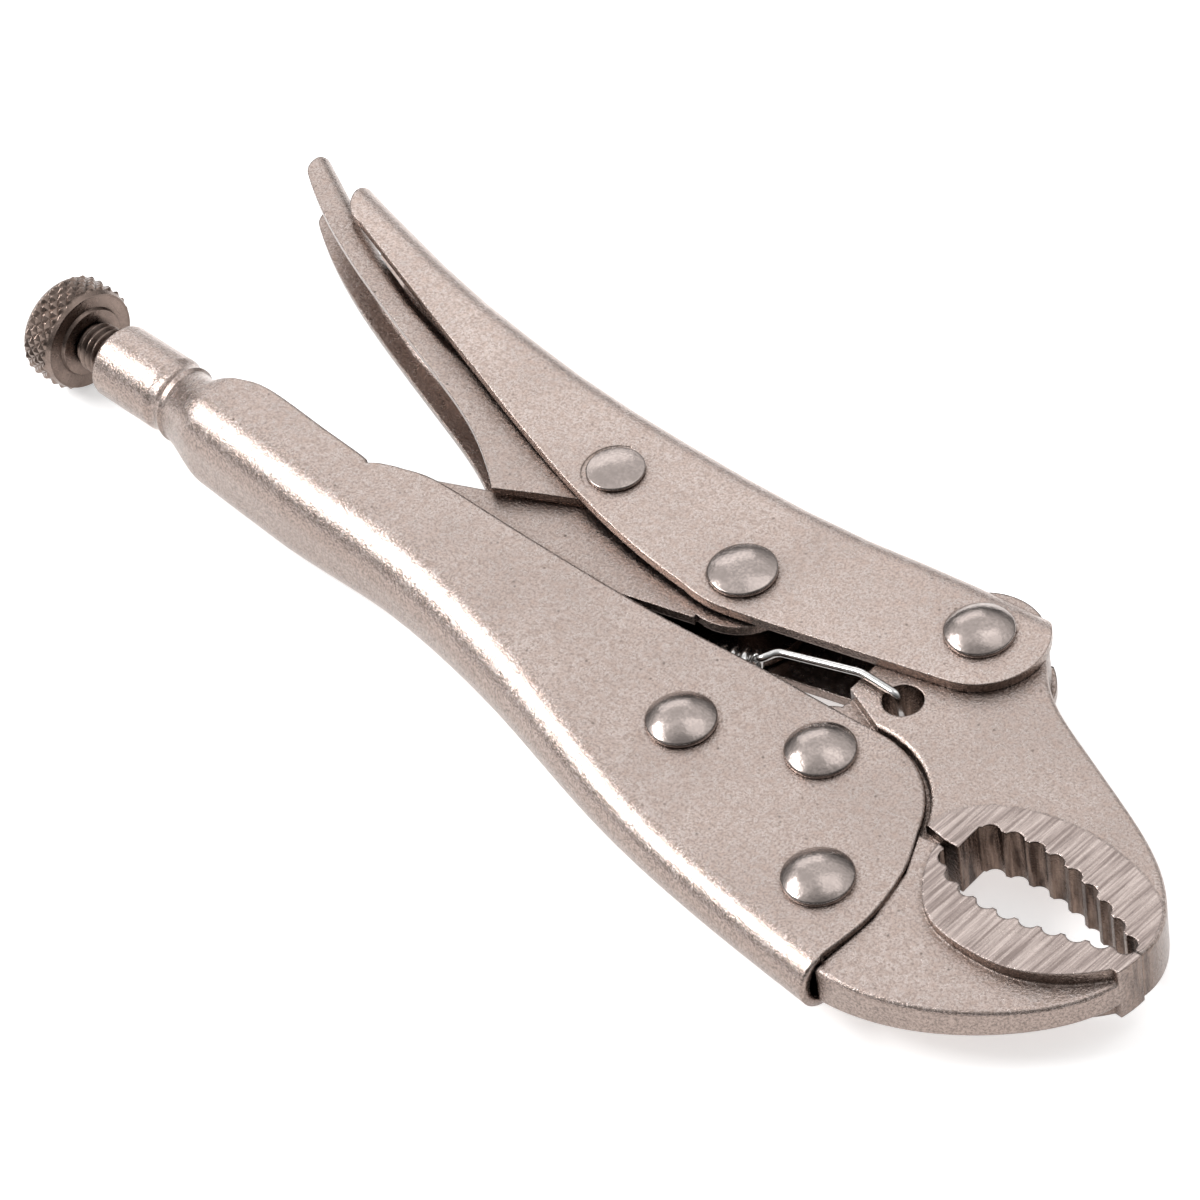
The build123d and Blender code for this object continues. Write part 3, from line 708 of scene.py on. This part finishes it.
class PLIERS_OT_handle(bpy.types.Operator):
    """Bend the fixed handle's sheet, from the closed barrel to the rounded nose over the jaw pivot"""

    bl_idname = "pliers.handle"
    bl_label = "Fixed handle"

    def execute(self, context):
        """The trough's section at each place is blended into a ring round the screw over the neck:
        section = (1 - w) trough + w ring, with w rising smoothly from the grip to the barrel.  Then
        the inner skin's points that lie too near the screw's axis are moved out to the bore."""
        edge, back = handle_lines()
        x = back[:, 0]
        slope = np.gradient(back[:, 1]) / np.gradient(x)
        slope[x < NECK_EDGE[0][0]] = 0
        inward = np.stack([-slope, np.ones_like(slope)], -1) / np.hypot(slope, 1)[:, None]
        half = handle_width(x)
        bend = np.minimum(HANDLE_BEND, half - 0.15)
        skins = trough_section(back, inward, edge, half, bend, counts=(10, 12, 8))
        columns = skins[0].shape[1]

        w = np.clip((NECK_X[0] - x) / (NECK_X[0] - NECK_X[1]), 0, 1)
        w = (w * w * (3 - 2 * w))[:, None, None]
        groove = np.exp(-(((x - RING_GROOVE_X) / 0.75) ** 2)) * (x > RING_GROOVE_X - 0.9)
        groove = RING_GROOVE * (groove + (x > RING_GROOVE_X + 1.3))
        into_lip = np.clip(BARREL_LIP - (x - BARREL_END_X), 0, BARREL_LIP)
        lip = BARREL_LIP - np.sqrt(BARREL_LIP**2 - into_lip**2)
        outer_r = BARREL_R - groove - lip
        inner_r = np.full(len(x), BORE_R)
        for skin, radius in zip(skins, (outer_r, inner_r)):
            skin[...] = (1 - w) * skin + w * barrel_ring(x, radius, columns)
            own_width = handle_width(skin[..., 0]) / half[:, None]
            skin[..., 2] *= np.where(w[..., 0] < 1e-6, own_width, 1.0)

        bore = skins[1]
        off_axis = np.hypot(bore[..., 1] - SCREW_Y, bore[..., 2])
        clear_r = BORE_R + 0.01
        tight = (bore[..., 0] < BORE_FRONT_X) & (off_axis < clear_r)
        push = np.where(tight, clear_r / np.maximum(off_axis, 0.5), 1.0)
        bore[..., 1] = SCREW_Y + (bore[..., 1] - SCREW_Y) * push
        bore[..., 2] *= push

        points = JAW_PIVOT + np.concatenate([skin.reshape(-1, 3) for skin in skins]) * MM
        faces = sheet_faces(len(x), columns)
        piece = make_piece("handle_sheet", points, faces, MATERIALS["plate"], "frame")
        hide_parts("fixed_handle")
        return {"FINISHED"}


def round_screw(stations, radii, angle):
    """Rings round the screw's axis: station, axis + radius * cosine, axis + radius * sine."""
    along = np.repeat(stations[:, None], len(angle), 1)
    return np.stack([along, SCREW_AXIS[1] + radii * np.cos(angle), SCREW_AXIS[2] + radii * np.sin(angle)], -1)


class PLIERS_OT_screw(bpy.types.Operator):
    """Cut the thread of the adjusting screw"""

    bl_idname = "pliers.screw"
    bl_label = "Adjusting screw"

    def execute(self, context):
        """Radius = outer radius less the thread's depth times a rounded triangle wave of
        (distance along / pitch - angle / turn)."""
        sizes = context.scene.pliers_sizes
        low, high = node_box("adjusting_screw")
        radius = (high[1] - low[1]) / 2
        stud, tip = 3.5 * MM, 3.0 * MM  # plain ends of the screw, under the knob and at the front
        run_out = 0.8 * MM
        sides = 72
        x = np.arange(low[0] + stud, high[0] - tip, sizes.thread_pitch / 12)
        angle = np.linspace(0, 2 * np.pi, sides, endpoint=False)
        phase = (x[:, None] / sizes.thread_pitch - angle[None] / (2 * np.pi)) % 1.0
        wave = np.clip(np.abs(2 * phase - 1) * 1.25 - 0.1, 0, 1)
        fade = np.clip(np.minimum(x - x[0], x[-1] - x) / run_out, 0, 1)[:, None]
        thread = radius - sizes.thread_depth * (1 - wave * fade)
        point, tip_r = np.zeros((1, sides)), np.full((2, sides), 0.7 * radius)
        r = np.concatenate([point, thread, tip_r, point])
        stations = np.concatenate([x[:1], x, [x[-1], high[0]], [high[0]]])
        points = round_screw(stations, r, angle)
        faces = grid_faces(len(stations), sides, wrap=True)
        piece = make_piece("screw_thread", points, faces, MATERIALS["screw"], "screw")
        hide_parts("adjusting_screw")
        return {"FINISHED"}


class PLIERS_OT_knob(bpy.types.Operator):
    """Turn and knurl the knob of the adjusting screw"""

    bl_idname = "pliers.knob"
    bl_label = "Knurled knob"

    def execute(self, context):
        """A turned profile; round its rim, radius = rim radius less the knurl's depth times one minus
        the lower of two crossed helical triangle waves, which leaves pointed diamonds."""
        sizes = context.scene.pliers_sizes
        low, high = node_box("knurled_knob")
        rim = (high[1] - low[1]) / 2
        boss = 0.3 * MM  # the raised ring on the front face
        bevel = 0.45 * MM
        back, face = low[0], high[0] - boss
        turns = sizes.knurls * 12
        angle = np.linspace(0, 2 * np.pi, turns, endpoint=False)
        x = np.linspace(back + bevel, face - bevel, 60)
        lead = 2 * np.pi * rim / sizes.knurls
        count = angle[None] * sizes.knurls / (2 * np.pi)
        right_hand = np.abs(2 * ((count + x[:, None] / lead) % 1.0) - 1)
        left_hand = np.abs(2 * ((count - x[:, None] / lead) % 1.0) - 1)
        diamond = np.clip(np.minimum(right_hand, left_hand) * 1.25, 0, 1)
        skirt = np.clip(np.minimum(x - x[0], x[-1] - x) / (0.25 * MM), 0, 1)[:, None]
        knurl = rim - sizes.knurl_depth * (1 - diamond * skirt)
        rear_r = [0, rim - 2.2 * bevel, rim - 1.1 * bevel]
        rear_x = [back, back, back + 0.1 * MM]
        front_r = [rim - 1.0 * bevel, rim - 1.5 * bevel, rim * 0.66, rim * 0.63, 0]
        front_x = [face, face - 0.05 * MM, face - 0.05 * MM, high[0], high[0]]
        rear = np.repeat(np.array(rear_r)[:, None], turns, 1)
        front = np.repeat(np.array(front_r)[:, None], turns, 1)
        stations = np.concatenate([rear_x, x, front_x])
        points = round_screw(stations, np.concatenate([rear, knurl, front]), angle)
        faces = grid_faces(len(stations), turns, wrap=True)
        piece = make_piece(
            "knob_knurl", points, faces, MATERIALS["screw"], "knob", smooth=False
        )
        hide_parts("knurled_knob")
        return {"FINISHED"}


class PLIERS_OT_rivets(bpy.types.Operator):
    """Upset the six rivets with domed heads"""

    bl_idname = "pliers.rivets"
    bl_label = "Rivets"

    def execute(self, context):
        """A turned profile from the tail's middle, round the shank, to the top of the head.  The head
        is a short straight edge, then a cap of the ball whose radius is (r^2 + h^2) / 2h."""
        sides = 64
        for name, (body, head) in RIVETS.items():
            low, high = node_box(name)
            middle = (low + high) / 2
            radius = (high[0] - low[0]) / 2
            top, tail = high[2], low[2]
            head = head * MM
            edge = min(0.42 * MM, 0.45 * head)
            cap = head - edge
            ball = (radius**2 + cap**2) / (2 * cap)
            t = np.linspace(0, 1, 26)
            dome_r = radius * (1 - 0.06 * t) * (1 - t)
            dome_z = top - ball + np.sqrt(ball**2 - dome_r**2)
            shank_r, tail_r = 0.55 * radius, 0.85 * radius
            tail_top = tail + 0.9 * MM
            profile = [
                (0, tail),
                (0.78 * radius, tail),
                (tail_r, tail + 0.15 * MM),
                (tail_r, tail_top),
                (shank_r, tail_top),
                (shank_r, top - head),
                (0.985 * radius, top - head),
                (radius, top - head + 0.06 * MM),
                *zip(dome_r, dome_z),
            ]
            axis_point = np.array([middle[0], middle[1], 0])
            points = turned(profile, sides, axis_point, (0, 0, 1), (1, 0, 0))
            faces = grid_faces(len(profile), sides, wrap=True)
            piece = make_piece(
                name + "_surface", points, faces, MATERIALS["rivet"], body
            )
            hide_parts(name)
        return {"FINISHED"}


class PLIERS_OT_spring(bpy.types.Operator):
    """Wind the tension spring and bend its hooks"""

    bl_idname = "pliers.spring"
    bl_label = "Tension spring"

    def execute(self, context):
        """Coil = axis point + radius towards an angle that grows with the distance along the axis;
        each hook is the wire's circle carried along straight runs and bends."""
        sizes = context.scene.pliers_sizes
        wire = sizes.wire / 2
        front, rear = from_pivot(*COIL_FRONT), from_pivot(*COIL_REAR)
        span = front - rear
        axis = span / np.linalg.norm(span)
        up = np.array([0, 0, 1.0])
        side = np.cross(axis, up)
        t = np.linspace(0, 1, sizes.coil_turns * 28 + 1)
        turn = t * sizes.coil_turns * 2 * np.pi
        round_axis = np.cos(turn)[:, None] * up + np.sin(turn)[:, None] * side
        path = rear + span * t[:, None] + (COIL_R * MM - wire) * round_axis
        coil = tube(path, wire, 10, axis)
        corners = [path[-1], *(from_pivot(*corner) for corner in HOOK)]
        hook = tube(rounded_route(corners, 0.55 * MM), wire, 12, np.array([0.3, -0.9, 0.31]))
        corners = [path[0], rear - axis * 1.2 * MM, rear - axis * 2.6 * MM]
        end = tube(rounded_route(corners, 0.5 * MM), wire, 12, np.array([0.2, 0.9, -0.3]))
        points, faces, start = [], [], 0
        for grid in (coil, hook, end):
            rows, columns = grid.shape[:2]
            faces.append(grid_faces(rows, columns, wrap=True, start=start))
            points.append(grid.reshape(-1, 3))
            start += rows * columns
        points, faces = np.concatenate(points), np.concatenate(faces)
        piece = make_piece("spring_coil", points, faces, MATERIALS["wire"], None)
        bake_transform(piece)
        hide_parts("tension_spring")
        return {"FINISHED"}


def softbox(name, middle, direction, distance, width, height, power):
    """A rectangle of light at a distance in a direction, facing the middle of the pliers."""
    data = bpy.data.lights.new(name, "AREA")
    data.shape = "RECTANGLE"
    data.size = width
    data.size_y = height
    data.energy = power
    lamp = bpy.data.objects.new(name, data)
    away = Vector(direction).normalized()
    lamp.location = Vector(middle) + away * distance
    lamp.rotation_euler = away.to_track_quat("Z", "Y").to_euler()
    bpy.context.scene.collection.objects.link(lamp)


def studio_world():
    """White surroundings whose strength is one share that falls towards the dark side of the room,
    times another that rises from the horizon."""
    world = bpy.data.worlds.new("studio")
    world.use_nodes = True
    tree = world.node_tree
    way = tree.nodes.new("ShaderNodeTexCoord").outputs["Generated"]

    def share(source, low, high, to_low, to_high):
        made = tree.nodes.new("ShaderNodeMapRange")
        for key, value in (("From Min", low), ("From Max", high), ("To Min", to_low), ("To Max", to_high)):
            made.inputs[key].default_value = value
        tree.links.new(source, made.inputs["Value"])
        return made.outputs[0]

    lean = tree.nodes.new("ShaderNodeVectorMath")
    lean.operation = "DOT_PRODUCT"
    lean.inputs[1].default_value = Vector((0.62, -0.55, 0.25)).normalized()
    tree.links.new(way, lean.inputs[0])
    height = tree.nodes.new("ShaderNodeSeparateXYZ")
    tree.links.new(way, height.inputs[0])
    both = tree.nodes.new("ShaderNodeMath")
    both.operation = "MULTIPLY"
    tree.links.new(share(lean.outputs["Value"], 0.15, 0.85, 1.0, 0.25), both.inputs[0])
    tree.links.new(share(height.outputs[2], 0.1, 0.6, 0.07, 1.0), both.inputs[1])
    surroundings = tree.nodes["Background"]
    surroundings.inputs[0].default_value = (1, 1, 1, 1)
    tree.links.new(both.outputs[0], surroundings.inputs[1])
    return world


def turned_camera():
    """A camera set off from the jaw pivot, turned by its azimuth, its elevation and then its roll."""
    data = bpy.data.cameras.new("camera")
    data.sensor_width = 36.0
    data.lens = CAMERA_LENS
    data.clip_start = 0.01
    camera = bpy.data.objects.new("camera", data)
    azimuth, elevation, roll = np.radians(CAMERA_TURN)
    ca, sa = np.cos(azimuth), np.sin(azimuth)
    ce, se = np.cos(elevation), np.sin(elevation)
    backward = Vector((sa * ce, -ca * ce, se))
    level = Vector((ca, sa, 0))
    upright = Vector((-sa * se, ca * se, ce))
    right = np.cos(roll) * level - np.sin(roll) * upright
    up = np.sin(roll) * level + np.cos(roll) * upright
    turn = Matrix((right, up, backward)).transposed().to_4x4()
    camera.matrix_world = Matrix.Translation(Vector(from_pivot(*CAMERA_OFFSET))) @ turn
    bpy.context.scene.collection.objects.link(camera)
    return camera


class PLIERS_OT_stage(bpy.types.Operator):
    """Lay the floor, set the soft lights and place the camera"""

    bl_idname = "pliers.stage"
    bl_label = "Stage"

    def execute(self, context):
        """The floor is a square just under the pliers, and the lights face their middle."""
        scene = context.scene
        low, high = (np.array(v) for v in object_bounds())
        middle = (low + high) / 2
        reach = 1.5
        under = low[2] - 0.2 * MM
        square = ((-reach, -reach), (reach, -reach), (reach, reach), (-reach, reach))
        corners = [(x, y, under) for x, y in square]
        floor = make_piece("floor", corners, [(0, 1, 2, 3)], white_board("white board"), None, smooth=False)
        floor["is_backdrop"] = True
        softbox("overhead", middle, (0.20, 0.30, 0.93), 0.8, 0.5, 0.5, 0.6)
        softbox("left strip", middle, (-0.56, -0.46, 0.69), 0.7, 0.40, 0.12, 3.0)
        softbox("rear strip", middle, (-0.75, 0.5, 0.45), 0.8, 0.5, 0.3, 0.5)
        scene.world = studio_world()
        scene.view_settings.view_transform = "Standard"
        scene.camera = turned_camera()
        return {"FINISHED"}


class PLIERS_PT_panel(bpy.types.Panel):
    """Lists the pieces and their settings"""

    bl_label = "Locking pliers"
    bl_space_type = "VIEW_3D"
    bl_region_type = "UI"
    bl_category = "Pliers"

    def draw(self, context):
        """The settings, then a button for each step."""
        for group in (context.scene.pliers_finish, context.scene.pliers_sizes):
            for key in group.__annotations__:
                self.layout.prop(group, key)
        for step in STEPS:
            self.layout.operator(step.bl_idname)


STEPS = (
    PLIERS_OT_finishes,
    PLIERS_OT_handle,
    PLIERS_OT_screw,
    PLIERS_OT_knob,
    PLIERS_OT_rivets,
    PLIERS_OT_spring,
    PLIERS_OT_stage,
)
CLASSES = (PliersFinish, PliersSizes) + STEPS + (PLIERS_PT_panel,)


def register():
    """Registers the classes and hangs the settings on the scene."""
    for item in CLASSES:
        bpy.utils.register_class(item)
    bpy.types.Scene.pliers_finish = bpy.props.PointerProperty(type=PliersFinish)
    bpy.types.Scene.pliers_sizes = bpy.props.PointerProperty(type=PliersSizes)


def unregister():
    """Undoes register."""
    del bpy.types.Scene.pliers_sizes
    del bpy.types.Scene.pliers_finish
    for item in reversed(CLASSES):
        bpy.utils.unregister_class(item)


def main():
    """Registers, then runs each step in order."""
    register()
    for step in STEPS:
        group, action = step.bl_idname.split(".")
        getattr(getattr(bpy.ops, group), action)()


if __name__ == "__main__":
    main()
